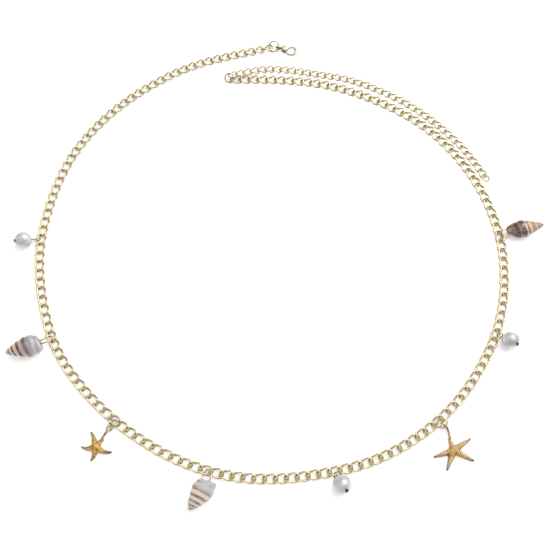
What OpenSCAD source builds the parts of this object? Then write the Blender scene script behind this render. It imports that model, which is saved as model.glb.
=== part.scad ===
// Waist chain, laid open on a surface: 153 curb links, a lobster clasp on a
// jump ring at one end, an end ring with a 40-link extender folded back at the
// other, and eight charms: three pearls, three spiral shells, two starfish.
// Sizes in mm. The chain lies on z = 0, x to the right, y away from the viewer.

/* [Chain] */
// Number of links in the main chain, clasp ring to end ring
main_links = 153; // [150:1:156]
// Wire thickness of a main chain link
link_wire = 0.8; // [0.6:0.05:0.85]
// Centre-line radius of the two round ends of a main link
link_round = 1.875; // [1.8:0.0375:1.9875]

/* [Extender] */
// Number of links in the extender, its round last link not counted
ext_links = 39; // [36:1:40]
// Wire thickness of an extender link
ext_wire = 0.65; // [0.5:0.05:0.7]
// Centre-line radius of the two round ends of an extender link
ext_round = 1.6125; // [1.575:0.0375:1.6875]
// Outer width of the round link that ends the extender
ext_last_d = 4.6; // [4:0.1:5]

/* [Rings and clasp] */
// Wire thickness of the clasp's jump ring
clasp_ring_wire = 0.8; // [0.6:0.05:0.8]
// Outer width of the clasp's jump ring
clasp_ring_d = 6; // [5.8:0.1:6.2]
// Wire thickness of the ring at the other end
end_ring_wire = 0.7; // [0.5:0.05:0.7]
// Outer width of the ring at the other end
end_ring_d = 5.3; // [5.2:0.05:5.4]
// Thickness of the clasp's body over the two cheeks
clasp_t = 2.4; // [2.2:0.1:2.6]
// Outer width of the clasp's loop
clasp_w = 6.4; // [6.2:0.1:6.6]
// Wire thickness of the clasp's hook
hook_wire = 1; // [0.9:0.1:1.2]

/* [Pearls] */
// Diameter of a pearl
pearl_d = 8; // [7:0.5:8.5]
// Thickness of the head pin through a pearl
pin_d = 0.6; // [0.5:0.05:0.65]
// Diameter of the hole drilled through a pearl
pearl_bore = 0.8; // [0.75:0.05:1]

/* [Shells] */
// Length of the cone shell at the left
left_shell_l = 16.5; // [14:0.5:18]
// Greatest width of the cone shell at the left
left_shell_w = 10; // [8:0.5:11]
// Length of the round-bellied shell at the front
front_shell_l = 15; // [13:0.5:17]
// Greatest width of the round-bellied shell at the front
front_shell_w = 10; // [8:0.5:11]
// Length of the spindle shell at the right
right_shell_l = 17.5; // [15:0.5:19]
// Greatest width of the spindle shell at the right
right_shell_w = 8.2; // [7:0.2:9]
// Wire thickness of a shell's jump ring
charm_wire = 0.6; // [0.5:0.05:0.7]

/* [Starfish] */
// Height of the left starfish at its middle
left_star_t = 2.4; // [1.8:0.1:3]
// Height of the right starfish at its middle
right_star_t = 2.4; // [1.8:0.1:3]
// Size of the left starfish against its list of arms
left_star_size = 1; // [0.8:0.05:1.2]
// Size of the right starfish against its list of arms
right_star_size = 1; // [0.8:0.05:1.2]

/* [Hidden] */
// middle of the whole outline, so that the origin lies under it
mid = [2.37, 13.27];

// chosen points the main chain passes by, from the clasp round to the end ring
route = [[-2, 131.8], [-36.5, 124], [-58.5, 112.5], [-82.5, 93.5], [-102, 66],
    [-109, 39.5], [-113, 8.5], [-102, -33.5], [-86.5, -54], [-68, -72],
    [-40.5, -89], [-9.5, -96.5], [21, -93], [47, -87], [77, -67],
    [95, -41.5], [105.5, -18], [109, 16], [101.5, 46.5], [87, 71.5],
    [69, 89.5], [38, 106], [10, 111.5], [-22.5, 111.5]];
// the same for the extender, with the height of its links' middles
ext_route = [[-21.7, 112.7, 3.2], [-2.5, 119.5, 1.45], [18.5, 115.5, 0.9],
    [37.5, 112.5, 0.9], [51, 106.5, 0.9], [68, 97, 0.9], [83, 83.5, 0.9],
    [95.5, 68.5, 0.9], [104, 51.5, 0.9]];
// the link each charm hangs on
at_pearl_left = 37;
at_shell_left = 48;
at_star_left = 59;
at_shell_front = 69;
at_pearl_front = 81;
at_star_right = 92;
at_pearl_right = 103;
at_shell_right = 114;

gold = [0.86, 0.74, 0.44];
pale_gold = [0.88, 0.82, 0.62];
pearl_white = [0.9, 0.88, 0.85];
shell_tan = [0.72, 0.62, 0.52];

// the curve drawn smoothly past a list of points, as many short steps
function blend(p, q, r, s, t) = (pow(1 - t, 3)*p + (3*pow(t, 3) - 6*t*t + 4)*q
    + (-3*pow(t, 3) + 3*t*t + 3*t + 1)*r + pow(t, 3)*s)/6;
function ends(p) = let(n = len(p))
    concat([2*p[0] - p[1]], p, [2*p[n - 1] - p[n - 2]]);
function curve(p) = let(e = ends(p), n = len(p)) concat(
    [for (i = [0 : n - 2]) for (k = [0 : 23])
        blend(e[i], e[i + 1], e[i + 2], e[i + 3], k/24)], [p[n - 1]]);
function lengths(c) = [for (i = 0, s = 0; i < len(c);
    s = s + (i < len(c) - 1 ? norm(c[i + 1] - c[i]) : 0), i = i + 1) s];
function table(c, s, k) = [for (i = [0 : len(c) - 1]) [s[i], c[i][k]]];

main_c = curve(route);
main_s = lengths(main_c);
main_x = table(main_c, main_s, 0);
main_y = table(main_c, main_s, 1);
main_len = main_s[len(main_s) - 1];
pitch = main_len/main_links;
function main_at(s) = [lookup(s, main_x), lookup(s, main_y)];

ext_c = curve(ext_route);
ext_s = lengths(ext_c);
ext_x = table(ext_c, ext_s, 0);
ext_y = table(ext_c, ext_s, 1);
ext_z = table(ext_c, ext_s, 2);
ext_len = ext_s[len(ext_s) - 1];
ext_pitch = ext_len/ext_links;
function ext_at(s) = s < 0 ? 2*ext_at(0) - ext_at(-s)
    : s > ext_len ? 2*ext_at(ext_len) - ext_at(2*ext_len - s)
    : [lookup(s, ext_x), lookup(s, ext_y), lookup(s, ext_z)];

// angles of the curb link with round sines, so its solids meet exactly
roll = atan2(44, 117);
rise = atan2(3, 4);
link_stub = 0.2;
ext_stub = 0.15;
ball = 1.06;
link_z = link_round*sin(roll) + link_wire/2;
bar_y = link_round*cos(roll);
// the first three links are rolled over, where the clasp's ring turns them
first_roll = [24, 12, 5];
function roll_of(i) = i < 3 ? first_roll[i] : 0;
function z_of(i) = i < 3
    ? link_round*sin(roll + first_roll[i]) + link_wire/2 : link_z;

// one curb link: two half rings rolled opposite ways, joined by two sloping bars
module curb_link(wire, r, stub) {
    w = wire/2;
    h = r*sin(roll);
    y = r*cos(roll);
    half = h/sin(rise);
    s = half*cos(rise);
    for (e = [0, 180]) rotate([0, 0, e]) {
        translate([s + stub, 0, 0]) rotate([roll, 0, 0]) rotate([0, 0, -90])
            rotate_extrude(angle = 180, $fn = 48) translate([r, 0])
                circle(r = w, $fn = 24);
        for (f = [-1, 1]) translate([s, f*y, f*h]) rotate([0, 90, 0])
            cylinder(r = w, h = stub, $fn = 24);
        translate([0, y, 0]) rotate([0, -rise, 0]) {
            rotate([0, 90, 0]) cylinder(r = w, h = 2*half, center = true, $fn = 24);
            for (g = [-1, 1]) translate([g*half, 0, 0]) sphere(r = w*ball, $fn = 24);
        }
    }
}

// puts a child on main link i: x along the chain, -y to the outside of the loop
module on_link(i, z = 0) {
    s = (round(i) + 0.5)*pitch;
    p = main_at(s);
    d = main_at(s + pitch/2) - main_at(s - pitch/2);
    translate([p[0] - mid[0], p[1] - mid[1], z])
        rotate([0, 0, atan2(d[1], d[0])]) children();
}

module main_run(from, to) {
    color(pale_gold) for (i = [from : to])
        on_link(i, z_of(i)) rotate([roll_of(i), 0, 0])
            curb_link(link_wire, link_round, link_stub);
}

module ring(d, wire) {
    rotate_extrude($fn = 64) translate([(d - wire)/2, 0])
        circle(r = wire/2, $fn = 24);
}

// a ring hooked round the outer side of link i; its middle lies d outside the
// side wire and q up its own leaning plane, which leans by lean from upright
module side_ring(i, wire, outer, lean, d, q) {
    on_link(i, link_z) translate([q*sin(lean), -bar_y - d, q*cos(lean)])
        rotate([0, lean, 0]) rotate([90, 0, 90]) ring(outer, wire);
}

module chain_left() main_run(0, 76);
module chain_right() main_run(77, main_links - 1);

module extender() {
    color(pale_gold) for (i = [0 : ext_links]) {
        p = ext_at(i*ext_pitch);
        d = ext_at((i + 0.5)*ext_pitch) - ext_at((i - 0.5)*ext_pitch);
        translate([p[0] - mid[0], p[1] - mid[1], p[2]])
            rotate([0, -asin(d[2]/norm(d)), atan2(d[1], d[0])])
                if (i < ext_links) curb_link(ext_wire, ext_round, ext_stub);
                else translate([-0.9, 0, 0.04]) rotate([-18, 0, 0])
                    ring(ext_last_d, ext_wire);
    }
}

// the clasp's jump ring, faced up towards the viewer
clasp_ring_x = -3.8;
clasp_ring_y = -0.25;
clasp_ring_roll = -35;
clasp_ring_z = (clasp_ring_d - clasp_ring_wire)/2*sin(abs(clasp_ring_roll))
    + clasp_ring_wire/2;
module clasp_ring() {
    color(pale_gold) on_link(0, clasp_ring_z)
        translate([clasp_ring_x, clasp_ring_y, 0])
            rotate([clasp_ring_roll, 0, 0]) ring(clasp_ring_d, clasp_ring_wire);
}

end_ring_roll = -48;
end_ring_z = (end_ring_d - end_ring_wire)/2*sin(abs(end_ring_roll))
    + end_ring_wire/2;
module end_ring() {
    color(pale_gold) on_link(main_links - 1, end_ring_z)
        translate([3.48, -0.23, 0]) rotate([end_ring_roll, 0, 0])
            ring(end_ring_d, end_ring_wire);
}

// lobster clasp: x from its eye to the end of its hook, laid flat
eye_x = [1.9, 131.8, 1.57];
clasp_yaw = -13;
clasp_dip = 4;
eye_r = 1.25;
eye_wire = 0.7;
eye_turn = 22;
hub_x = 3.4;
hub_r = 1.55;
loop_x = 6.6;
loop_r = (clasp_w - hook_wire)/2;
slot_t = 1;
lever_t = 0.8;
lever_l = 4;
lever_turn = 30;
rivet_d = 0.8;
lever_bore = 0.9;
rivet_at = [hub_x, 0.35];
module on_clasp() {
    translate([eye_x[0] - mid[0], eye_x[1] - mid[1], eye_x[2]])
        rotate([0, clasp_dip, clasp_yaw]) children();
}
module clasp_body() {
    color(pale_gold) on_clasp() {
        rotate([90 + eye_turn, 0, 0]) rotate_extrude($fn = 48) translate([eye_r, 0])
            circle(r = eye_wire/2, $fn = 24);
        translate([eye_r + 0.1, 0, 0]) rotate([0, 90, 0])
            cylinder(r = 0.6, h = hub_x - hub_r - eye_r + 0.05, $fn = 24);
        difference() {
            union() {
                translate([hub_x, 0, 0])
                    cylinder(r = hub_r, h = clasp_t, center = true, $fn = 48);
                translate([loop_x, 0, 0]) rotate([0, 0, -163])
                    rotate_extrude(angle = 232, $fn = 64)
                        translate([loop_r, 0]) circle(r = hook_wire/2, $fn = 24);
            }
            translate([rivet_at[0], rivet_at[1], 0])
                cylinder(r = 1.35, h = slot_t, center = true, $fn = 48);
            translate([hub_x - 1.4, 0.35, -slot_t/2]) cube([4, 3, slot_t]);
            translate([hub_x, -0.25, -slot_t/2]) cube([3, 2, slot_t]);
        }
        translate([rivet_at[0], rivet_at[1], 0])
            cylinder(r = rivet_d/2, h = clasp_t - 0.2, center = true, $fn = 32);
    }
}

// the spring lever that closes the hook, turning on the rivet
module clasp_lever() {
    color(pale_gold) on_clasp() translate([rivet_at[0], rivet_at[1], 0])
        difference() {
            union() {
                cylinder(r = 1.05, h = lever_t, center = true, $fn = 40);
                rotate([0, 0, lever_turn]) rotate([0, 90, 0])
                    cylinder(r = lever_t/2, h = lever_l, $fn = 24);
                rotate([0, 0, lever_turn]) translate([lever_l, 0, 0])
                    sphere(r = lever_t/2*ball, $fn = 24);
                rotate([0, 0, 118]) rotate([0, 90, 0])
                    cylinder(r = 0.38, h = 2.1, $fn = 24);
            }
            cylinder(r = lever_bore/2, h = 3, center = true, $fn = 32);
        }
}

// a pearl lies on the surface at p = [x, y] of its link's frame; its pin runs
// from an eye on the link's side wire through the pearl to a flat head
pin_eye_r = 1.2;
pin_eye_wire = 0.56;
pin_lean = 45;
pin_q = 0.2;
pin_eye = [pin_q*sin(pin_lean), -bar_y, link_z + pin_q*cos(pin_lean)];
pin_from = pin_eye + [0, -pin_eye_r, 0];
module along_pin(p) {
    d = [p[0], p[1], pearl_d/2] - pin_from;
    translate([p[0], p[1], pearl_d/2]) rotate([0, acos(d[2]/norm(d)),
        atan2(d[1], d[0])]) children();
}
module pearl(i, p) {
    color(pearl_white) on_link(i) along_pin(p) difference() {
        sphere(r = pearl_d/2, $fn = 48);
        cylinder(r = pearl_bore/2, h = pearl_d + 2, center = true, $fn = 24);
    }
}
module pearl_pin(i, p) {
    reach = norm([p[0], p[1], pearl_d/2] - pin_from);
    color(gold) {
        side_ring(i, pin_eye_wire, 2*pin_eye_r + pin_eye_wire, pin_lean, 0, pin_q);
        on_link(i) along_pin(p) {
            translate([0, 0, -reach])
                cylinder(r = pin_d/2, h = reach + pearl_d/2 + 0.2, $fn = 24);
            translate([0, 0, pearl_d/2 + 0.04])
                cylinder(r = 0.75, h = 0.35, $fn = 32);
        }
    }
}
pearl_left_at = [2.2, -7.6];
pearl_front_at = [1.4, -6.6];
pearl_right_at = [-1.7, -6.6];
module pearl_left() pearl(at_pearl_left, pearl_left_at);
module pearl_left_pin() pearl_pin(at_pearl_left, pearl_left_at);
module pearl_front() pearl(at_pearl_front, pearl_front_at);
module pearl_front_pin() pearl_pin(at_pearl_front, pearl_front_at);
module pearl_right() pearl(at_pearl_right, pearl_right_at);
module pearl_right_pin() pearl_pin(at_pearl_right, pearl_right_at);

// a spiral shell along +z from its open lip at z = 0 to its apex; the whorls
// swell between sutures that climb round it, and the mouth is hollow
shell_rows = 32;
shell_cols = 26;
mouth_rows = 5;
// how full the whorls towards the apex are; 1 would be a straight cone
spire = 0.62;
// row k goes from the lip to the apex; u is its share of the length
function row_u(k) = 0.985*(1 - pow(1 - k/(shell_rows - 1), 1.4));
function belly(u, lip, at, top) = u < at
    ? lip + (1 - lip)*pow(sin(90*u/at), 0.9)
    : max(top, pow((1 - u)/(1 - at), spire));
function whorl(u, a, turns) = let(t = turns*(1 - sqrt(1 - u)) - a/360,
    f = t - floor(t)) pow(sin(180*f), 0.5);
function shell_r(u, a, lip, at, turns, dent) = belly(u, lip, at, 0.07)
    *(1 - dent*(1 - whorl(u, a, turns))*min(1, u*5));
module spiral_shell(l, w, lip, at, turns, dent, wall, droop) {
    n = shell_cols;
    outer = [for (k = [0 : shell_rows - 1]) for (j = [0 : n - 1])
        let(u = row_u(k), a = 360*j/n,
            r = w/2*shell_r(u, a, lip, at, turns, dent))
        [r*cos(a) + droop*pow(max(0, 1 - 2.4*u), 2), r*sin(a), u*l]];
    inner = [for (k = [0 : mouth_rows - 1]) for (j = [0 : n - 1])
        let(a = 360*j/n, f = k/mouth_rows,
            r = (w/2*lip - wall)*sqrt(1 - f*f))
        [r*cos(a) + droop*pow(1 - 0.4*f, 2), r*sin(a), f*l*0.27]];
    m = shell_rows*n;
    q = m + mouth_rows*n;
    pts = concat(outer, inner, [[0, 0, l], [droop*0.36, 0, l*0.27]]);
    side = [for (k = [0 : shell_rows - 2]) for (j = [0 : n - 1])
        let(a = k*n + j, b = k*n + (j + 1)%n)
        each [[a, a + n, b], [b, a + n, b + n]]];
    lip_f = [for (j = [0 : n - 1]) let(b = (j + 1)%n)
        each [[j, b, m + j], [b, m + b, m + j]]];
    cup = [for (k = [0 : mouth_rows - 2]) for (j = [0 : n - 1])
        let(a = m + k*n + j, b = m + k*n + (j + 1)%n)
        each [[a, b, a + n], [b, b + n, a + n]]];
    tip = [for (j = [0 : n - 1])
        [(shell_rows - 1)*n + j, q, (shell_rows - 1)*n + (j + 1)%n]];
    deep = [for (j = [0 : n - 1])
        [m + (mouth_rows - 1)*n + j, m + (mouth_rows - 1)*n + (j + 1)%n, q + 1]];
    polyhedron(points = pts, faces = concat(side, lip_f, cup, tip, deep));
}

// lays a shell from its lip at p = [x, y, z] of its link's frame, its axis
// turned by yaw and dipping by dip, its spiral turned by spin about the axis
module lay_shell(i, p, yaw, dip, spin) {
    on_link(i) translate(p) rotate([0, 0, yaw]) rotate([90 + dip, 0, 0])
        rotate([0, 0, spin]) children();
}
// [outer width, height up its own plane, way out] of a shell's ring
wide_ring = [6.6, 1.95, 0.85];
small_ring = [5, 1.15, 0.6];
shell_lean = 45;
module shell_ring(i, g) {
    color(gold) side_ring(i, charm_wire, g[0], shell_lean, g[2], g[1]);
}
// the hole drilled through a shell's lip where the ring's far side passes
module ring_hole(i, g, l) {
    on_link(i, link_z) translate([g[1]*sin(shell_lean),
        -bar_y - g[2] - (g[0] - charm_wire)/2, g[1]*cos(shell_lean)])
        rotate([0, shell_lean, 0]) cylinder(r = 0.75, h = l, center = true, $fn = 24);
}

module shell_left() {
    color(shell_tan) difference() {
        lay_shell(at_shell_left, [3, -4.4, 5.2], -6.5, 1.5, 0)
            spiral_shell(left_shell_l, left_shell_w, 0.66, 0.4, 7, 0.16, 0.9, 0);
        ring_hole(at_shell_left, wide_ring, 4);
    }
}
module shell_left_ring() shell_ring(at_shell_left, wide_ring);

module shell_front() {
    color(shell_tan) difference() {
        lay_shell(at_shell_front, [3.5, -3.9, 5.3], -17.5, 2, 120)
            spiral_shell(front_shell_l, front_shell_w, 0.66, 0.42, 7.5, 0.14, 0.9, 0);
        ring_hole(at_shell_front, wide_ring, 4.4);
    }
}
module shell_front_ring() shell_ring(at_shell_front, wide_ring);

module shell_right() {
    color(shell_tan) difference() {
        lay_shell(at_shell_right, [1.95, -3.4, 3.2], 0, -7.6, 60)
            spiral_shell(right_shell_l, right_shell_w, 0.36, 0.42, 6.7, 0.14, 0.6, 0);
        ring_hole(at_shell_right, small_ring, 3.4);
    }
}
module shell_right_ring() shell_ring(at_shell_right, small_ring);

// a starfish from its list of arms [angle, length, curl], flat side down:
// every arm tapers and has a rounded ridge
star_f = [0, 0.02, 0.05, 0.1, 0.18, 0.31, 0.5, 0.69, 0.82, 0.9, 0.95, 0.98];
star_u = [0.12, 0.25, 0.4, 0.55, 0.7, 0.82, 0.92, 1];
module starfish(arms, t, half, tip) {
    n = len(arms);
    m = len(star_f);
    c = n*m;
    spokes = [for (k = [0 : n - 1]) for (f = star_f)
        let(a = arms[k], b = arms[(k + 1)%n], g = b[0] - a[0],
            gap = g < 0 ? g + 360 : g, x = f*gap,
            r1 = (half + tip)/(sin(min(90, x)) + half/a[1]),
            r2 = (half + tip)/(sin(min(90, gap - x)) + half/b[1]),
            near = r1 > r2,
            l = near ? a[1] : b[1], off = near ? x : gap - x)
        [a[0] + x, min(max(r1, r2), l), l, off, a[2]*(1 - f) + b[2]*f]];
    top = [for (u = star_u) for (s = spokes)
        let(r = u*s[1], w = max(0.05, half*(1 - r*cos(s[3])/s[2]) + tip),
            side = min(1, r*sin(s[3])/w),
            a = s[0] + s[4]*pow(r/s[2], 2),
            z = t*(1 - 0.55*r/s[2])*sqrt(max(0, 1 - side*side)))
        [r*cos(a), r*sin(a), max(z, 0.35*t*(1 - u))  + 0.3]];
    low = [for (s = spokes)
        let(a = s[0] + s[4]*pow(s[1]/s[2], 2)) [s[1]*cos(a), s[1]*sin(a), 0]];
    q = len(star_u);
    pts = concat([[0, 0, t + 0.3]], top, low, [[0, 0, 0]]);
    face = concat(
        [for (j = [0 : c - 1]) [0, 1 + (j + 1)%c, 1 + j]],
        [for (k = [0 : q - 1]) for (j = [0 : c - 1])
            let(a = 1 + k*c + j, b = 1 + k*c + (j + 1)%c)
            each [[a, b, a + c], [b, b + c, a + c]]],
        [for (j = [0 : c - 1])
            [1 + q*c + j, 1 + q*c + (j + 1)%c, 1 + (q + 1)*c]]);
    polyhedron(points = pts, faces = face);
}

// the starfish's own cast eye, threaded by the jump ring on the chain
star_ring_lean = 55;
star_ring_q = 1.05;
star_ring_out = 0;
star_ring_d = 4.9;
star_ring_wire = 0.7;
star_eye_wire = 0.7;
star_eye = [star_ring_q*sin(star_ring_lean),
    -bar_y - star_ring_out - (star_ring_d - star_ring_wire)/2 - 0.2,
    link_z + star_ring_q*cos(star_ring_lean)];
module star_ring(i) {
    color(gold) side_ring(i, star_ring_wire, star_ring_d, star_ring_lean,
        star_ring_out, star_ring_q);
}
// eye of centre-line radius r and the stem from it to the starfish
module star_eye_stem(r, to) {
    from = star_eye + [0, -r, 0];
    d = to - from;
    translate(star_eye) rotate([0, star_ring_lean, 0])
        rotate_extrude($fn = 48) translate([r, 0])
            circle(r = star_eye_wire/2, $fn = 24);
    translate(from) rotate([0, acos(d[2]/norm(d)), atan2(d[1], d[0])])
        cylinder(r = 0.45, h = norm(d), $fn = 24);
}
left_star = [1.5, -13.6, 0];
left_arms = [[-51.5, 6.3, -14], [2.5, 7.6, 20], [84, 4.6, 0], [143, 7, 8],
    [240, 6.3, -24]];
module starfish_left() {
    color(gold) on_link(at_star_left) {
        translate(left_star) scale(left_star_size)
            starfish(left_arms, left_star_t, 1.5, 0.35);
        star_eye_stem(1.35, left_star + [0.2, 2.4, 1.4]);
    }
}
module starfish_left_ring() star_ring(at_star_left);

right_star = [-3.5, -13.4, 0];
right_arms = [[-68, 9.6, 0], [-6, 9.3, 0], [65, 5.6, 0], [158, 9.1, 0],
    [208, 9.3, 0]];
module starfish_right() {
    color(gold) on_link(at_star_right) {
        translate(right_star) scale(right_star_size)
            starfish(right_arms, right_star_t, 1.25, 0.5);
        star_eye_stem(1.15, right_star + [1.3, 3, 1.3]);
    }
}
module starfish_right_ring() star_ring(at_star_right);

chain_left();
chain_right();
extender();
clasp_ring();
end_ring();
clasp_body();
clasp_lever();
pearl_left();
pearl_left_pin();
pearl_front();
pearl_front_pin();
pearl_right();
pearl_right_pin();
shell_left();
shell_left_ring();
shell_front();
shell_front_ring();
shell_right();
shell_right_ring();
starfish_left();
starfish_left_ring();
starfish_right();
starfish_right_ring();
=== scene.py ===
import bmesh
import bpy
import numpy as np
from math import asin, atan2, cos, pi, radians, sin, tan
from mathutils import Matrix, Vector


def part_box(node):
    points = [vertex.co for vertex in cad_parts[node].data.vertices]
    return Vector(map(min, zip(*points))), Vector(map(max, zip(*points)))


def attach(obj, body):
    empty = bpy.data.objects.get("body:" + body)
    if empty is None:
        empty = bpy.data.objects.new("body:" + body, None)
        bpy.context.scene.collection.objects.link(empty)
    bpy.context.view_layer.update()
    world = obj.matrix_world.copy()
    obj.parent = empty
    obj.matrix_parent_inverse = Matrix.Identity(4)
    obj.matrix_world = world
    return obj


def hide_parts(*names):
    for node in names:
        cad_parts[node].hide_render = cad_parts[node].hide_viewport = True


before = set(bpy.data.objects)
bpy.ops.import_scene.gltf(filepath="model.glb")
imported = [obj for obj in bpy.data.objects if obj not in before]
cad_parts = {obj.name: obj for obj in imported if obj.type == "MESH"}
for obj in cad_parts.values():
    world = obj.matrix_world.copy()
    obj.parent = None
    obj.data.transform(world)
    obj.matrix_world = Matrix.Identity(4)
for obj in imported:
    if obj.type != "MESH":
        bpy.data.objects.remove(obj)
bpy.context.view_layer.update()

# Main chain: 153 small curb links of drawn brass wire, each bent to an oval, closed, twisted
# so that it lies flat, and plated a pale gold. It lies as an open loop along the line below,
# and the clasp's ring rolls its first links over a little.
mm = 0.001  # sizes and places are in mm, and the scene counts in metres
metre = 1000
# where the origin, under the middle of the whole outline, lies in the points of the lines
middle = np.array([2.37, 13.27])
chain_line = [[-2, 131.8], [-36.5, 124], [-58.5, 112.5], [-82.5, 93.5], [-102, 66],
              [-109, 39.5], [-113, 8.5], [-102, -33.5], [-86.5, -54], [-68, -72],
              [-40.5, -89], [-9.5, -96.5], [21, -93], [47, -87], [77, -67],
              [95, -41.5], [105.5, -18], [109, 16], [101.5, 46.5], [87, 71.5],
              [69, 89.5], [38, 106], [10, 111.5], [-22.5, 111.5]]
chain_links = 153
# the wire's thickness, the radius of a round end's middle line, and the straight bit beside it
link_wire = 0.9
link_round = 1.875
link_stub = 0.2
# how far an end is rolled over, and how steeply the sides climb from one end to the other
link_roll = atan2(44, 117)
link_rise = atan2(3, 4)
# a link's wire has five flat sides here, so it is set this much lower than a round one
link_settle = 0.02
# degrees by which the first links are rolled over
rolled_links = {0: 24, 1: 12, 2: 5}


def smooth_line(points, steps=24):
    """The smooth curve past a list of points, and the length along it."""
    marks = np.array(points, float)
    marks = np.vstack([2 * marks[0] - marks[1], marks, 2 * marks[-1] - marks[-2]])
    part = (np.arange(steps) / steps)[:, None]
    shares = ((1 - part) ** 3, 3 * part ** 3 - 6 * part * part + 4,
              -3 * part ** 3 + 3 * part * part + 3 * part + 1, part ** 3)
    stretches = [sum(share * marks[i + k] for k, share in enumerate(shares)) / 6
                 for i in range(len(marks) - 3)]
    line = np.vstack(stretches + [marks[-2:-1]])
    run = np.r_[0, np.cumsum(np.linalg.norm(np.diff(line, axis=0), axis=1))]
    return line, run


def along(line, run, length):
    """The point at a length along a curve, carried on past either end."""
    if length < 0:
        return 2 * along(line, run, 0) - along(line, run, -length)
    if length > run[-1]:
        return 2 * along(line, run, run[-1]) - along(line, run, 2 * run[-1] - length)
    return np.array([np.interp(length, run, line[:, k]) for k in range(line.shape[1])])


chain_curve, chain_run = smooth_line(chain_line)
chain_pitch = chain_run[-1] / chain_links


def at_link(i, z=0.0):
    """Where link i lies: x along the chain, -y to the outside of the loop."""
    length = (i + 0.5) * chain_pitch
    x, y = along(chain_curve, chain_run, length) - middle
    way = (along(chain_curve, chain_run, length + chain_pitch / 2)
           - along(chain_curve, chain_run, length - chain_pitch / 2))
    return (Matrix.Translation((x * mm, y * mm, z * mm))
            @ Matrix.Rotation(atan2(way[1], way[0]), 4, "Z"))


def pick(piece, test):
    """Selects the vertices of a piece in edit mode by their place, in mm."""
    shape = bmesh.from_edit_mesh(piece.data)
    for v in shape.verts:
        v.select = bool(test(v.co / mm))
    shape.select_flush(True)
    bmesh.update_edit_mesh(piece.data)


def turn(angle, axis):
    """Turns what is selected about the origin; without a window the tool turns it backwards."""
    bpy.ops.transform.rotate(value=-angle, orient_axis=axis, orient_type="GLOBAL",
                             center_override=(0, 0, 0))


def bend_link(name, wire, bow, stub, columns=20, sides=5):
    """One curb link at the origin: an oval of wire, its two ends rolled opposite ways.

    A ring is parted into two ends, moved out; the columns next to the straight sides
    are drawn back to where those sides start; then each end is rolled over."""
    bpy.ops.object.select_all(action="DESELECT")
    bpy.ops.mesh.primitive_torus_add(major_radius=bow * mm, minor_radius=wire / 2 * mm,
                                     major_segments=columns, minor_segments=sides)
    link = bpy.context.object
    link.name = name
    half_column = pi / columns
    end_middle = bow * sin(link_roll) / sin(link_rise) * cos(link_rise) + stub
    parting = tan(pi / 2 - 1.5 * half_column)
    bpy.ops.object.mode_set(mode="EDIT")
    bpy.ops.mesh.select_mode(type="VERT")
    bpy.ops.mesh.select_all(action="SELECT")
    turn(half_column, "Z")
    for end in (1, -1):
        pick(link, lambda v: v.x * end > 0)
        bpy.ops.transform.translate(value=(end * end_middle * mm, 0, 0))
        for side in (1, -1):
            pick(link, lambda v: v.x * end > 0
                 and v.y * side > abs(v.x - end * end_middle) * parting)
            bpy.ops.transform.translate(
                value=(-end * (stub + bow * sin(half_column)) * mm,
                       side * bow * (1 - cos(half_column)) * mm, 0))
        pick(link, lambda v: v.x * end > 0)
        turn(end * link_roll, "X")
    bpy.ops.object.mode_set(mode="OBJECT")
    bpy.ops.object.shade_smooth()
    return link


def set_in_place(name, model, places):
    """Copies a model to each place, joins the copies and leaves their place in the mesh."""
    copies = []
    for place in places:
        one = model.copy()
        one.data = model.data.copy()
        bpy.context.collection.objects.link(one)
        one.matrix_world = place
        copies.append(one)
    bpy.data.objects.remove(model)
    bpy.ops.object.select_all(action="DESELECT")
    for one in copies:
        one.select_set(True)
    bpy.context.view_layer.objects.active = copies[0]
    if len(copies) > 1:
        bpy.ops.object.join()
    whole = bpy.context.object
    bpy.ops.object.transform_apply(location=True, rotation=True, scale=True)
    whole.name = name
    return whole


def link_place(i):
    """Where the mesh of link i goes: resting on the surface, and rolled over if it is a first one."""
    roll = radians(rolled_links.get(i, 0))
    z = link_round * sin(link_roll + roll) + link_wire / 2 - link_settle
    return at_link(i, z) @ Matrix.Rotation(roll, 4, "X")


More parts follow.
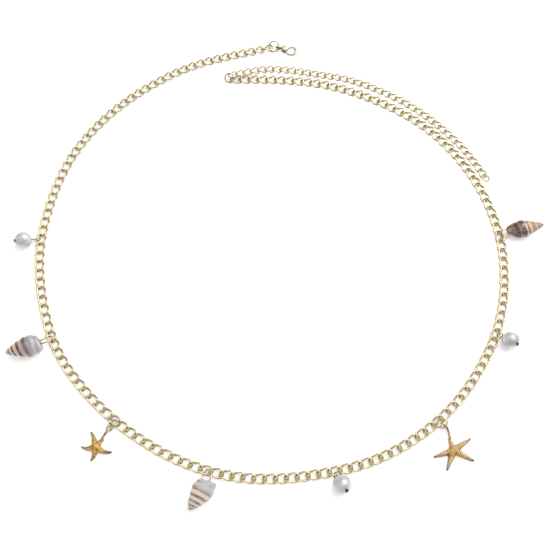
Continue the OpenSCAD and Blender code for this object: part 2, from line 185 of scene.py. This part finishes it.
class Value:
    """One value of a material, so that sums on it are written as sums."""

    def __init__(self, tree, socket):
        self.tree = tree
        self.socket = socket

    def node(self, kind, settings=None, out=0, **links):
        """Adds any node: its settings first, then the values or links of its sockets, which
        are named, or numbered as i0, i1 and so on."""
        made = self.tree.nodes.new(kind)
        for key, value in (settings or {}).items():
            if key == "stops":
                ramp = made.color_ramp
                while len(ramp.elements) < len(value):
                    ramp.elements.new(0.5)
                for stop, (place, colour) in zip(ramp.elements, value):
                    stop.position = place
                    stop.color = (*colour, 1)
            else:
                setattr(made, key, value)
        for key, value in links.items():
            numbered = key[0] == "i" and key[1:].isdigit()
            spot = made.inputs[int(key[1:]) if numbered else key.replace("_", " ")]
            if isinstance(value, Value):
                self.tree.links.new(value.socket, spot)
            else:
                spot.default_value = value
        return Value(self.tree, made.outputs[out])

    def maths(self, operation, *values):
        """One Math node on the values given."""
        return self.node("ShaderNodeMath", {"operation": operation},
                         **{f"i{k}": v for k, v in enumerate(values)})

    def __add__(self, other):
        return self.maths("ADD", self, other)

    def __radd__(self, other):
        return self.maths("ADD", other, self)

    def __sub__(self, other):
        return self.maths("SUBTRACT", self, other)

    def __rsub__(self, other):
        return self.maths("SUBTRACT", other, self)

    def __mul__(self, other):
        return self.maths("MULTIPLY", self, other)

    def __rmul__(self, other):
        return self.maths("MULTIPLY", other, self)

    def __truediv__(self, other):
        return self.maths("DIVIDE", self, other)

    def __rtruediv__(self, other):
        return self.maths("DIVIDE", other, self)

    def __pow__(self, other):
        return self.maths("POWER", self, other)

    def __rpow__(self, other):
        return self.maths("POWER", other, self)

    def between(self, low, high):
        """0 below low, 1 above high, smooth between."""
        return self.node("ShaderNodeMapRange", {"interpolation_type": "SMOOTHSTEP"},
                         Value=self, From_Min=low, From_Max=high)

    def ramp(self, stops):
        """The colour at this value, between stops of a place and a colour each."""
        return self.node("ShaderNodeValToRGB", {"stops": stops}, Fac=self)

    def shades(self, stops):
        """The same for stops of a place and a grey each."""
        return self.ramp([(place, (grey,) * 3) for place, grey in stops])

    def blend(self, share, one, other):
        """Colour one where share is 0, the other where it is 1."""
        def full(c):
            return c if isinstance(c, Value) else (*c, 1)
        return self.node("ShaderNodeMix", {"data_type": "RGBA"}, out=2, i0=share,
                         i6=full(one), i7=full(other))

    def grain(self, size, detail=3.0, rough=0.5, distortion=0.0):
        """Soft noise from 0 to 1, with lumps of about size mm."""
        return self.node("ShaderNodeTexNoise", None, Vector=self, Scale=metre / size,
                         Detail=detail, Roughness=rough, Distortion=distortion)


def new_finish(name, **constants):
    """An empty material: its shader, and the place on the piece as a Value."""
    material = bpy.data.materials.new(name)
    material.use_nodes = True
    tree = material.node_tree
    shader = tree.nodes["Principled BSDF"]
    for key, value in constants.items():
        shader.inputs[key.replace("_", " ")].default_value = value
    place = Value(tree, None).node("ShaderNodeTexCoord", out=3)
    return material, shader, place


def feed(shader, place, **values):
    """Links values to the shader's sockets of the same names."""
    for key, value in values.items():
        place.tree.links.new(value.socket, shader.inputs[key.replace("_", " ")])


def bump(place, height, depth):
    """A bump of depth mm from a height of 0 to 1."""
    return place.node("ShaderNodeBump", Strength=1.0, Distance=depth * mm, Height=height)


def plated_metal(name, light, deep, tarnish_and_painted_shade, rough, painted_dark_end=None):
    """Polished plating, with painted shade: the sides and underside are painted dark by which way
    they face, and only the tops keep the bright colour; fine flecks of tarnish at random; and a
    painted dark reflection over an end, where one is given by its place, its reach in mm and its
    colour."""
    material, shader, place = new_finish(name, Metallic=1.0, IOR=1.45)
    # which way the surface faces, up or down; it decides below where shade is painted
    facing = place.node("ShaderNodeTexCoord", out=1)
    painted_shade_and_wear = facing.node("ShaderNodeSeparateXYZ", out=2, Vector=facing)
    cloud = place.grain(2.2, 4)
    fine = place.grain(0.35, 5, 0.65)
    scratch = place.node("ShaderNodeMapping", Vector=place, Scale=(9, 1, 4),
                         Rotation=(0.3, 0.2, 0.9)).grain(1.1, 6, 0.7)
    worn = cloud.between(0.42, 0.68)
    colour = place.blend(worn, light, deep)
    colour = place.blend(fine.between(0.55, 0.85) * 0.4, colour, tarnish_and_painted_shade)
    # Painted shade: the sides and underside, by which way they face, take the dark colour, and only
    # the tops keep the bright plating colour.
    colour = place.blend((painted_shade_and_wear + 0.25 * (cloud - 0.5)).between(-0.1, 0.9), tarnish_and_painted_shade, colour)
    # Painted dark reflection: around a given spot, such as a pin's head, the colour goes dark.
    if painted_dark_end:
        spot, reach, dark = painted_dark_end
        away = place.node("ShaderNodeVectorMath", {"operation": "DISTANCE"}, out=1,
                          i0=place, i1=spot)
        colour = place.blend(away.between(0.9 * reach * mm, 1.1 * reach * mm), dark, colour)
    feed(shader, place, Base_Color=colour,
         Roughness=rough + 0.16 * worn + 0.1 * scratch.between(0.5, 0.75),
         Normal=bump(place, fine * 0.6 + scratch * 0.4, 0.02))
    return material


# the third colour is tarnish, and also the painted shade down the links' sides
chain_gold = plated_metal("pale_gold_links", (0.86, 0.70, 0.36), (0.67, 0.52, 0.22),
                          (0.10, 0.082, 0.038), rough=0.2)
chain_link = bend_link("chain_link", link_wire, link_round, link_stub)
main_chain = set_in_place("main_chain", chain_link,
                          [link_place(i) for i in range(chain_links)])
main_chain.data.materials.append(chain_gold)
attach(main_chain, "chain")
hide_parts("chain_left", "chain_right")

# Extender: behind the end ring hang 39 smaller curb links, drawn, bent and plated in the same
# way from thinner brass wire, and a round last link. They are folded back beside the main chain.
extender_line = [[-21.7, 112.7, 3.2], [-2.5, 119.5, 1.45], [18.5, 115.5, 0.9],
                 [37.5, 112.5, 0.9], [51, 106.5, 0.9], [68, 97, 0.9],
                 [83, 83.5, 0.9], [95.5, 68.5, 0.9], [104, 51.5, 0.9]]
extender_links = 39
extender_wire = 0.71
extender_round = 1.6125
extender_stub = 0.15
# the round last link: its wire, its radius, how it is set from its place, and its tilt in degrees
last_wire = 0.68
last_round = 1.975
last_set = (-0.9 * mm, 0, 0.04 * mm)
last_tilt = -18
extender_curve, extender_run = smooth_line(extender_line)
extender_pitch = extender_run[-1] / extender_links


def at_extender(i):
    """Where extender link i lies: x along the extender, tipped where that climbs."""
    length = i * extender_pitch
    x, y, z = along(extender_curve, extender_run, length)
    way = (along(extender_curve, extender_run, length + extender_pitch / 2)
           - along(extender_curve, extender_run, length - extender_pitch / 2))
    return (Matrix.Translation(((x - middle[0]) * mm, (y - middle[1]) * mm, z * mm))
            @ Matrix.Rotation(atan2(way[1], way[0]), 4, "Z")
            @ Matrix.Rotation(-asin(way[2] / np.linalg.norm(way)), 4, "Y"))


small_link = bend_link("small_link", extender_wire, extender_round, extender_stub)
extender_chain = set_in_place("extender_chain", small_link,
                              [at_extender(i) for i in range(extender_links)])
bpy.ops.object.select_all(action="DESELECT")
bpy.ops.mesh.primitive_torus_add(major_radius=last_round * mm, minor_radius=last_wire / 2 * mm,
                                 major_segments=40, minor_segments=12)
bpy.ops.object.shade_smooth()
last_link = set_in_place(
    "last_link", bpy.context.object,
    [at_extender(extender_links) @ Matrix.Translation(last_set)
     @ Matrix.Rotation(radians(last_tilt), 4, "X")])
for piece in (extender_chain, last_link):
    piece.data.materials.append(chain_gold)
    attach(piece, "chain")
    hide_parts("extender")

# Rings and clasp: a round jump ring of brass wire carries a cast brass lobster clasp, whose
# lever turns on a rivet and is sprung shut; a second ring joins main chain and extender.
# the third colour is tarnish, and also the painted shade down the sides of rings and clasp
findings_gold = plated_metal("pale_gold_findings", (0.70, 0.63, 0.43), (0.48, 0.40, 0.22),
                             (0.09, 0.08, 0.045), rough=0.24)
# vertices of a solid that lie closer than this, in mm, are one
merge_gap = 0.002


def smooth_copy(node, name, angle=35, levels=0, reshape=None):
    """A merged and smoothed copy of a solid, to stand for it; reshape moves each vertex."""
    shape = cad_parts[node].data.copy()
    shape.materials.clear()
    piece = bpy.data.objects.new(name, shape)
    bpy.context.collection.objects.link(piece)
    bpy.ops.object.select_all(action="DESELECT")
    piece.select_set(True)
    bpy.context.view_layer.objects.active = piece
    bpy.ops.object.mode_set(mode="EDIT")
    bpy.ops.mesh.select_all(action="SELECT")
    bpy.ops.mesh.remove_doubles(threshold=merge_gap * mm)
    bpy.ops.mesh.tris_convert_to_quads()
    bpy.ops.object.mode_set(mode="OBJECT")
    if reshape:
        for v in shape.vertices:
            v.co = reshape(v.co)
    if levels:
        fine = piece.modifiers.new("fine", "SUBSURF")
        fine.levels = levels
        fine.render_levels = levels
        bpy.ops.object.modifier_apply(modifier="fine")
        bpy.ops.object.shade_smooth()
    else:
        bpy.ops.object.shade_smooth_by_angle(angle=radians(angle))
    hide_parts(node)
    return piece


for node, body in (("clasp_ring", "chain"), ("end_ring", "chain"),
                   ("clasp_body", "chain"), ("clasp_lever", "lever")):
    piece = smooth_copy(node, node + "_cast")
    piece.data.materials.append(findings_gold)
    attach(piece, body)

# Pearls: three grey-white pearls, drilled through and held on a head pin of gold plated wire,
# which is turned to an eye round a link of the chain. The pin's flat head is painted dark, as a
# painted dark reflection.
nacre, shader, place = new_finish("nacre", Coat_Roughness=0.32, IOR=1.6, Metallic=0.4,
                                  Subsurface_Weight=0.08)
shader.inputs["Subsurface Radius"].default_value = (0.6 * mm, 0.5 * mm, 0.45 * mm)
mist = place.grain(5.5, 3, 0.55, 0.6)
layers = place.grain(1.6, 5, 0.6, 1.2)
colour = mist.ramp([(0.3, (0.41, 0.41, 0.42)), (0.5, (0.56, 0.56, 0.56)),
                    (0.7, (0.71, 0.71, 0.70))])
colour = place.blend(layers.between(0.45, 0.8) * 0.3, colour, (0.58, 0.53, 0.53))
feed(shader, place, Base_Color=colour, Roughness=0.3 + 0.2 * layers,
     Coat_Weight=0.5 + 0.4 * mist, Normal=bump(place, layers * 0.5 + mist * 0.5, 0.05))
# the pins' third colour is tarnish, and also the painted shade down their sides
pin_gold = ((0.86, 0.7, 0.38), (0.6, 0.45, 0.2), (0.2, 0.15, 0.09))
# the colour of the painted dark reflection on each pin's head
painted_dark_reflection = (0.05, 0.05, 0.055)
# mm: a pearl's radius, how far past it the pin's head ends, how far the painted dark reflection
# on the head reaches, and the pin's eye as its link sees it
pearl_round = 4
pin_head = 0.3
dark_reach = 1
pin_eye = (0, -2.96 * mm, 1.2 * mm)
for where, link in (("left", 37), ("front", 81), ("right", 103)):
    piece = smooth_copy(f"pearl_{where}", f"pearl_bead_{where}", angle=30)
    piece.data.materials.append(nacre)
    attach(piece, "chain")
    low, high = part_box(f"pearl_{where}")
    centre = (low + high) / 2
    eye = at_link(link) @ Vector(pin_eye)
    head = centre + (centre - eye).normalized() * (pearl_round + pin_head) * mm
    piece = smooth_copy(f"pearl_{where}_pin", f"head_pin_{where}")
    piece.data.materials.append(plated_metal(f"head_pin_gold_{where}", *pin_gold, rough=0.22,
                                             painted_dark_end=(head, dark_reach, painted_dark_reflection)))
    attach(piece, "chain")

# Charm rings: each shell and starfish hangs on a jump ring of thin brass wire, plated a warmer
# gold than the chain and closed round the side of its link.
# the third colour is tarnish, and also the painted shade down the rings' sides
ring_gold = plated_metal("gold_rings", (0.9, 0.76, 0.46), (0.66, 0.5, 0.25),
                         (0.25, 0.19, 0.1), rough=0.2)
for charm in ("shell_left", "shell_front", "shell_right", "starfish_left",
              "starfish_right"):
    piece = smooth_copy(charm + "_ring", charm + "_jump_ring")
    piece.data.materials.append(ring_gold)
    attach(piece, "chain")

# Shells: three small sea shells, each drilled through the lip: a banded cone at the left, a
# round pale one in front, and a brown spindle at the right. A shell grows as a wound tube,
# so its bands and threads follow the whorls from the lip to the apex.


def shell_frame(link, lip, yaw, dip, spin):
    """The shell's own frame: z from the middle of its lip to its apex."""
    return (at_link(link) @ Matrix.Translation(Vector(lip) * mm)
            @ Matrix.Rotation(radians(yaw), 4, "Z")
            @ Matrix.Rotation(radians(90 + dip), 4, "X")
            @ Matrix.Rotation(radians(spin), 4, "Z"))


def slant_mouth(at, side, depth, reach=4.8, mouth=3.3):
    """Takes the lip back towards the apex on one side, as a grown shell's mouth slants:
    by depth mm at the lip, less up to reach mm above it; mouth is the mouth's radius."""
    own_side = (at.inverted().to_3x3() @ Vector(side)).xy.normalized()

    def reshape(spot):
        own = at.inverted() @ spot
        near = max(0, 1 - own.z / (reach * mm)) ** 2
        lean = max(-1, min(1, own.xy.dot(own_side) / (mouth * mm)))
        own.z += depth * mm * near * (1 + lean) / 2
        return at @ own
    return reshape


def fill_out(at, length, side, shift, swell):
    """Fills out the belly of a shell towards one side, and leaves its lip and apex: a spot
    moves by shift mm, and by the share swell of how far out to that side it lies."""
    own_side = (at.inverted().to_3x3() @ Vector(side)).xy.normalized().to_3d()

    def reshape(spot):
        own = at.inverted() @ spot
        full = sin(pi * max(0, min(1, own.z / (length * mm))) ** 0.8)
        own += own_side * full * (shift * mm + swell * own.dot(own_side))
        return at @ own
    return reshape


# how many growth folds and fine streaks there are round a shell, and threads to each whorl
growth_folds = 5
fine_streaks = 42
spiral_threads = 7


def shell_finish(name, at, length, ground, stain, first, others, turns, first_turns, specks):
    """Glossy shell: colours of the ground and of a darker stain from lip to apex, the stain
    in bands wound along the whorls, with its strength over the first turns taken together
    and over each of the others; specks is how strongly pale specks show."""
    material, shader, place = new_finish(name, IOR=1.5, Coat_Roughness=0.12)
    own = place.node("ShaderNodeMapping", {"vector_type": "TEXTURE"}, Vector=place,
                     Location=at.translation, Rotation=at.to_euler("XYZ"))
    x, y, z = (own.node("ShaderNodeSeparateXYZ", out=k, Vector=own) for k in range(3))
    up = z.node("ShaderNodeClamp", Value=z * (metre / length))
    around = x.maths("ARCTAN2", y, x) / (2 * pi)
    around = around + around.maths("LESS_THAN", around, 0.0)
    waver = place.grain(3.2, 3) - 0.5
    fleck = place.grain(0.7, 5, 0.7)
    blotch = place.grain(2.0, 4, 0.6).between(0.4, 0.6)
    wound = turns * (1 - (1 - up) ** 0.5) - around
    beyond = wound.between(first_turns - 0.03, first_turns + 0.03)
    band = wound.maths("FRACT", wound + 0.12 * waver).shades(others)
    early = ((wound + 0.1 * waver) / first_turns).shades(first)
    growth = x.maths("SINE", around * (2 * pi * growth_folds) + waver * 14).between(0.1, 1.0)
    share = band * beyond * (0.7 + 0.3 * blotch) + early * (1 - beyond) * (0.45 + 0.6 * blotch)
    tone = up + 0.05 * waver
    colour = place.blend(share + growth * (1 - beyond) * 0.3, tone.ramp(ground),
                         tone.ramp(stain))
    streak = x.maths("SINE", around * (2 * pi * fine_streaks) + waver * 9)
    colour = place.blend(streak.between(0.2, 1.0) * fleck.between(0.4, 0.65) * 0.3, colour,
                         (0.09, 0.06, 0.05))
    colour = place.blend(fleck.between(0.54, 0.72) * specks, colour, (0.70, 0.62, 0.58))
    thread = x.maths("SINE", wound * (2 * pi * spiral_threads))
    feed(shader, place, Base_Color=colour, Roughness=0.26 + 0.22 * fleck,
         Coat_Weight=0.35 + 0.5 * waver,
         Normal=bump(place, streak * 0.25 + thread * 0.3 + fleck * 0.6, 0.05))
    return material


cone_length = 16.5
cone_place = shell_frame(48, (3, -4.4, 5.2), yaw=-6.5, dip=1.5, spin=0)
cone_ground = [
    (0.0, (0.80, 0.79, 0.77)), (0.06, (0.60, 0.60, 0.58)), (0.13, (0.33, 0.32, 0.33)),
    (0.2, (0.57, 0.57, 0.55)), (0.3, (0.37, 0.36, 0.37)), (0.38, (0.25, 0.22, 0.24)),
    (0.46, (0.47, 0.34, 0.34)), (0.56, (0.55, 0.40, 0.37)), (0.64, (0.54, 0.39, 0.28)),
    (0.76, (0.76, 0.61, 0.45)), (0.9, (0.70, 0.66, 0.60)), (1.0, (0.50, 0.50, 0.49))]
cone_stain = [
    (0.0, (0.36, 0.35, 0.36)), (0.3, (0.20, 0.19, 0.21)), (0.42, (0.15, 0.10, 0.11)),
    (0.52, (0.09, 0.045, 0.045)), (0.58, (0.035, 0.016, 0.012)),
    (0.9, (0.045, 0.024, 0.018)), (1.0, (0.2, 0.16, 0.14))]
cone_first = [(0.0, 0), (1.0, 0)]
cone_bands = [(0.0, 0), (0.2, 0), (0.27, 1), (0.66, 1), (0.73, 0), (1.0, 0)]
cone_finish = shell_finish("banded_cone_shell", cone_place, cone_length, cone_ground,
                           cone_stain, cone_first, cone_bands, turns=7, first_turns=1,
                           specks=0.15)

pale_length = 15
pale_place = shell_frame(69, (3.5, -3.9, 5.3), yaw=-17.5, dip=2, spin=120)
pale_ground = [
    (0.0, (0.58, 0.48, 0.52)), (0.09, (0.54, 0.44, 0.50)), (0.15, (0.46, 0.47, 0.51)),
    (0.26, (0.50, 0.51, 0.48)), (0.36, (0.50, 0.50, 0.44)), (0.42, (0.60, 0.52, 0.42)),
    (0.5, (0.78, 0.66, 0.53)), (0.7, (0.76, 0.65, 0.52)), (0.85, (0.63, 0.60, 0.52)),
    (1.0, (0.45, 0.43, 0.37))]
pale_stain = [
    (0.0, (0.34, 0.35, 0.35)), (0.3, (0.34, 0.35, 0.32)), (0.38, (0.30, 0.24, 0.17)),
    (0.5, (0.25, 0.155, 0.095)), (0.7, (0.25, 0.165, 0.105)), (1.0, (0.28, 0.24, 0.18))]
pale_first = [(0.0, 0), (0.72, 0), (0.82, 0.9), (1.0, 0.9)]
pale_bands = [(0.0, 0.9), (0.07, 0.5), (0.13, 0), (0.58, 0), (0.68, 1), (1.0, 1)]
pale_finish = shell_finish("pale_round_shell", pale_place, pale_length, pale_ground,
                           pale_stain, pale_first, pale_bands, turns=7.5, first_turns=1,
                           specks=0.12)

brown_length = 17.5
brown_place = shell_frame(114, (1.95, -3.4, 3.2), yaw=0, dip=-7.6, spin=60)
brown_ground = [
    (0.0, (0.56, 0.38, 0.27)), (0.2, (0.42, 0.21, 0.13)), (0.27, (0.36, 0.30, 0.28)),
    (0.36, (0.42, 0.36, 0.35)), (0.44, (0.78, 0.63, 0.58)), (0.52, (0.72, 0.54, 0.44)),
    (0.56, (0.66, 0.43, 0.27)), (0.7, (0.62, 0.43, 0.28)), (0.85, (0.46, 0.35, 0.31)),
    (1.0, (0.38, 0.30, 0.31))]
brown_stain = [
    (0.0, (0.07, 0.024, 0.015)), (0.2, (0.04, 0.011, 0.006)), (0.4, (0.055, 0.015, 0.009)),
    (0.52, (0.11, 0.037, 0.02)), (0.6, (0.18, 0.105, 0.05)), (0.85, (0.20, 0.14, 0.10)),
    (1.0, (0.25, 0.19, 0.18))]
brown_first = [(0.0, 0.6), (0.3, 0.75), (0.34, 1), (0.47, 1), (0.49, 0.1), (0.52, 0.1),
               (0.56, 1), (0.85, 1), (0.875, 0), (0.94, 0), (0.96, 1), (1.0, 1)]
brown_bands = [(0.0, 1), (0.1, 0.9), (0.16, 0), (0.56, 0), (0.68, 0.8), (0.92, 0.8),
               (0.97, 0.1), (1.0, 0.2)]
brown_finish = shell_finish("brown_spindle_shell", brown_place, brown_length, brown_ground,
                            brown_stain, brown_first, brown_bands, turns=6.7, first_turns=2,
                            specks=0.28)

for node, name, finish, slot, reshape in (
        ("shell_left", "cone_shell", cone_finish, "banded_shell",
         slant_mouth(cone_place, (-0.2, 1, 0.3), depth=1.3)),
        ("shell_front", "round_shell", pale_finish, "pale_shell",
         slant_mouth(pale_place, (-0.9, 0.47, 0.1), depth=2.0)),
        ("shell_right", "spindle_shell", brown_finish, "brown_shell",
         fill_out(brown_place, brown_length, (0, -1, 0), shift=0.5, swell=0.12))):
    piece = smooth_copy(node, name, levels=2, reshape=reshape)
    piece.data.materials.append(finish)
    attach(piece, "chain")

# Starfish: two cast brass starfish, plated orange gold and toned dark at the tips of the arms,
# each with a stem and an eye cast on, which its jump ring threads. The right one is cast with
# rows of round grains.


def starfish_finish(name, link, centre, reach, beads, dark, painted_shade_and_wear):
    """Plating toned from the middle of a starfish to its tips, reach mm away. Dark is how
    far it darkens between grains of beads mm, and rubbed how far it is worn to a light gold."""
    material, shader, place = new_finish(name, Metallic=1.0)
    at = at_link(link) @ Matrix.Translation(Vector(centre) * mm)
    own = place.node("ShaderNodeMapping", {"vector_type": "TEXTURE"}, Vector=place,
                     Location=at.translation, Rotation=at.to_euler("XYZ"))
    away = own.node("ShaderNodeVectorMath", {"operation": "LENGTH"}, out=1, i0=own) * metre
    lumps = place.node("ShaderNodeTexVoronoi", {"feature": "F1"}, Vector=place,
                       Scale=metre / beads, Randomness=0.6)
    pits = place.grain(0.5, 5, 0.7)
    tone = away / reach + 0.18 * (pits - 0.5)
    colour = tone.ramp([(0.0, (0.76, 0.32, 0.045)), (0.26, (0.88, 0.50, 0.12)),
                        (0.5, (0.78, 0.60, 0.25)), (0.76, (0.40, 0.36, 0.21)),
                        (0.96, (0.15, 0.15, 0.14)), (1.0, (0.80, 0.68, 0.40))])
    colour = place.blend(painted_shade_and_wear, colour, (0.95, 0.80, 0.52))
    colour = place.blend((lumps * dark).between(0.35, 0.75) * 0.7, colour,
                         (0.22, 0.10, 0.03))
    feed(shader, place, Base_Color=colour, Roughness=0.28 + 0.2 * pits,
         Normal=bump(place, 1 - lumps * 0.8 + 0.2 * pits, 0.22))
    return material


# the right starfish's arms: the direction in degrees as its link sees it, and the length in mm
grained_arms = ((-68, 9.6), (-6, 9.3), (65, 5.6), (158, 9.1), (208, 9.3))
# mm: half of an arm's width at its root, the spread that its side rows keep at the tip, and
# the stretch of tip that is left bare
arm_half = 1.25
tip_spread = 0.1
bare_tip = 1.1
# mm: a grain's width, the pitch of a row, and the height from which a grain is set down
grain_size = 0.62
grain_pitch = 0.78
set_from = 5
# the side rows' share of an arm's half width; and as shares of a grain's width, its height, how
# far it sinks in, and where the first one of a row stands
row_share = 0.62
grain_height = 0.8
grain_sunk = 0.12
grain_first = 1.5


def granules(name, star, at):
    """Cast grains on a starfish: one in the middle, and rows along the ridge of each arm and
    on both sides of it. Each is set down on the surface from above."""
    bpy.ops.object.select_all(action="DESELECT")
    bpy.ops.mesh.primitive_ico_sphere_add(subdivisions=2, radius=grain_size / 2 * mm)
    grain = bpy.context.object
    bpy.ops.object.mode_set(mode="EDIT")
    bpy.ops.mesh.select_all(action="SELECT")
    bpy.ops.transform.resize(value=(1, 1, grain_height))
    bpy.ops.object.mode_set(mode="OBJECT")
    bpy.ops.object.shade_smooth()
    spots = [(0, 0)]
    for angle, length in grained_arms:
        out = Vector((cos(radians(angle)), sin(radians(angle))))
        side = Vector((-out.y, out.x))
        far = grain_first * grain_size
        while far < length - bare_tip:
            wide = row_share * arm_half * (1 - far / length) + tip_spread
            spots += [tuple(out * far + side * wide * row) for row in (-1, 0, 1)]
            far += grain_pitch
    places = []
    for x, y in spots:
        over = at @ Vector((x * mm, y * mm, set_from * mm))
        hit, spot, up, _ = star.ray_cast(over, Vector((0, 0, -1)))
        if hit:
            places.append(Matrix.Translation(spot - up * grain_size * grain_sunk * mm)
                          @ up.to_track_quat("Z", "Y").to_matrix().to_4x4())
    return set_in_place(name, grain, places)


# mm, for each: its middle as its link sees it, how far its tips reach, and its grains' width
for node, name, link, centre, reach, beads, dark, painted_shade_and_wear in (
        ("starfish_left", "curled_starfish", 59, (1.5, -13.6, 0), 7.6, 0.8, 1.3, 0),
        ("starfish_right", "straight_starfish", 92, (-3.5, -13.4, 0), 9.6, 0.62, 2.8, 0.05)):
    piece = smooth_copy(node, name, levels=2)
    piece.data.materials.append(starfish_finish(
        name + "_gold", link, centre, reach, beads, dark, painted_shade_and_wear))
    pieces = [piece]
    if node == "starfish_right":
        at = at_link(link) @ Matrix.Translation(Vector(centre) * mm)
        grains = granules("starfish_grains", piece, at)
        grains.data.materials.append(starfish_finish(
            "starfish_grain_gold", link, centre, reach, beads, dark=0.3, painted_shade_and_wear=0.6))
        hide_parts(node)
        pieces.append(grains)
    for one in pieces:
        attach(one, "chain")

# Floor, light and camera: a plain white surface, a large soft light from the upper right and
# behind, a weaker one from the left and in front, and the camera about 65 degrees above the
# surface. The floor's and the lights' sizes and places are in metres, the camera's in mm.
floor_size = 4
bpy.ops.object.select_all(action="DESELECT")
bpy.ops.mesh.primitive_plane_add(size=floor_size)
floor = bpy.context.object
floor.name = "floor"
white, shader, place = new_finish("white_surface", Roughness=0.9)
shader.inputs["Specular IOR Level"].default_value = 0.1
shader.inputs["Emission Color"].default_value = (1, 1, 1, 1)
shader.inputs["Emission Strength"].default_value = 0.27
feed(shader, place, Base_Color=place.grain(60, 2).ramp(
    [(0.3, (0.95, 0.95, 0.95)), (0.7, (0.97, 0.97, 0.97))]))
floor.data.materials.append(white)

for name, spot, size, power, tint in (
        ("key_light", (0.32, 0.22, 0.62), 0.85, 6.0, (1, 0.99, 0.97)),
        ("fill_light", (-0.6, -0.3, 0.7), 1.2, 2.6, (0.97, 0.98, 1))):
    bpy.ops.object.light_add(type="AREA", location=spot)
    light = bpy.context.object
    light.name = name
    light.data.size = size
    light.data.energy = power
    light.data.color = tint
    light.rotation_euler = (-Vector(spot)).to_track_quat("-Z", "Y").to_euler()
world = bpy.context.scene.world or bpy.data.worlds.new("studio")
bpy.context.scene.world = world
world.use_nodes = True
sky = world.node_tree.nodes["Background"]
sky.inputs["Color"].default_value = (0.97, 0.97, 1, 1)
sky.inputs["Strength"].default_value = 0.42
bpy.context.scene.view_settings.view_transform = "Standard"

# mm: how far the camera stands in front of the spot that it looks at, and above it
camera_back = 170.47
camera_up = 369.35
bpy.ops.object.camera_add(
    location=(-middle[0] * mm, (-camera_back - middle[1]) * mm, camera_up * mm),
    rotation=(atan2(camera_back, camera_up), 0, 0))
camera = bpy.context.object
camera.data.lens = 57
camera.data.sensor_width = 36
camera.data.clip_start = 0.01
bpy.context.scene.camera = camera
